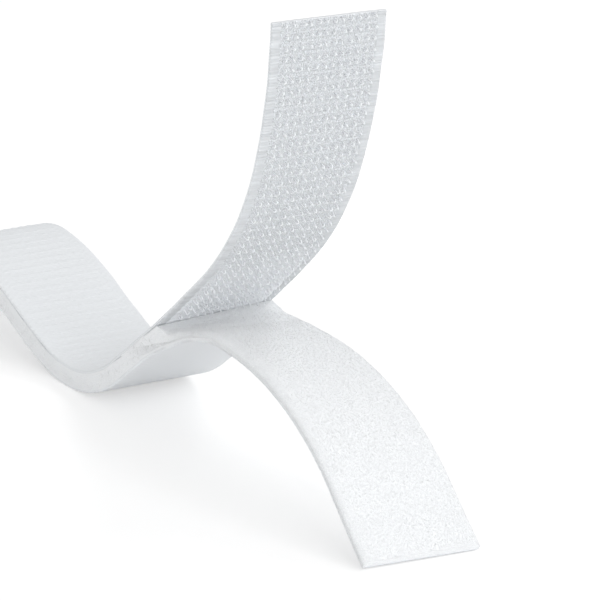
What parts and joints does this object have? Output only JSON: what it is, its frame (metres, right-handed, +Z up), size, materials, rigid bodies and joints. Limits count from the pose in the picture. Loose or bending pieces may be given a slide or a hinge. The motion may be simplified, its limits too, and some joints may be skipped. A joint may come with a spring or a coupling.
{
  "type": "hook and loop tape roll",
  "caption": "Woven hook strip pressed onto a woven loop strip, wound on a board core, with its free end peeled apart into a hook tail and a loop tail.",
  "frame": {"origin": "on the floor, under the middle of the flat lead between the roll and the crest, at the middle of the tape's width", "axes": "+X along the run of the tape from the roll to the free ends, +Y across the tape, +Z up"},
  "size_m": [0.2145, 0.0222, 0.0736],
  "materials": {
    "hook_weave": "white woven nylon ground of the hook strip, ribbed across, satin",
    "hook_nylon": "translucent white nylon monofilament hooks, glossy",
    "loop_weave": "white woven nylon ground of the loop strip, plain back, matt",
    "loop_nylon": "white napped nylon loops, soft and matt",
    "core_board": "spiral-wound kraft paperboard, matt"
  },
  "bodies": {
    "roll": {"core": "core_board", "hook_ground_wound": "hook_weave", "hook_field_wound": "hook_nylon", "loop_pile_wound": "loop_nylon", "loop_ground_wound": "loop_weave"},
    "band": {"hook_ground_band": "hook_weave", "hook_field_band": "hook_nylon", "loop_pile_band": "loop_nylon", "loop_ground_band": "loop_weave"},
    "fold": {"hook_ground_fold": "hook_weave", "hook_field_fold": "hook_nylon", "loop_pile_fold": "loop_nylon", "loop_ground_fold": "loop_weave"},
    "hook_tail": {"hook_ground_tail": "hook_weave", "hook_rows_tail": "hook_nylon"},
    "hook_end": {"hook_ground_end": "hook_weave", "hook_rows_end": "hook_nylon"},
    "loop_tail": {"loop_ground_tail": "loop_weave", "loop_pile_tail": "loop_nylon"},
    "loop_end": {"loop_ground_end": "loop_weave", "loop_pile_end": "loop_nylon"}
  },
  "joints": [
    {"name": "lead_bend", "type": "hinge", "parent": "roll", "child": "band", "pos_m": [0.018, 0, 0.0032], "axis": [0, -1, 0], "range_deg": [0, 25], "stiffness_Nm_per_rad": 0.02},
    {"name": "dip_bend", "type": "hinge", "parent": "band", "child": "fold", "pos_m": [0.0662, 0, 0.00449], "axis": [0, -1, 0], "range_deg": [0, 20], "stiffness_Nm_per_rad": 0.02},
    {"name": "hook_peel", "type": "hinge", "parent": "fold", "child": "hook_tail", "pos_m": [0.09158, 0, 0.01273], "axis": [0, -1, 0], "range_deg": [0, 40], "stiffness_Nm_per_rad": 0.004},
    {"name": "hook_bend", "type": "hinge", "parent": "hook_tail", "child": "hook_end", "pos_m": [0.11656, 0, 0.03861], "axis": [0, -1, 0], "range_deg": [-30, 20], "stiffness_Nm_per_rad": 0.004},
    {"name": "loop_bend", "type": "hinge", "parent": "fold", "child": "loop_tail", "pos_m": [0.11347, 0.00002, 0.01918], "axis": [-0.0177, -0.9945, 0.1033], "range_deg": [0, 25], "stiffness_Nm_per_rad": 0.004},
    {"name": "loop_end_bend", "type": "hinge", "parent": "loop_tail", "child": "loop_end", "pos_m": [0.13887, -0.0009, 0.01418], "axis": [-0.0309, -0.9981, 0.0533], "range_deg": [0, 30], "stiffness_Nm_per_rad": 0.004}
  ]
}
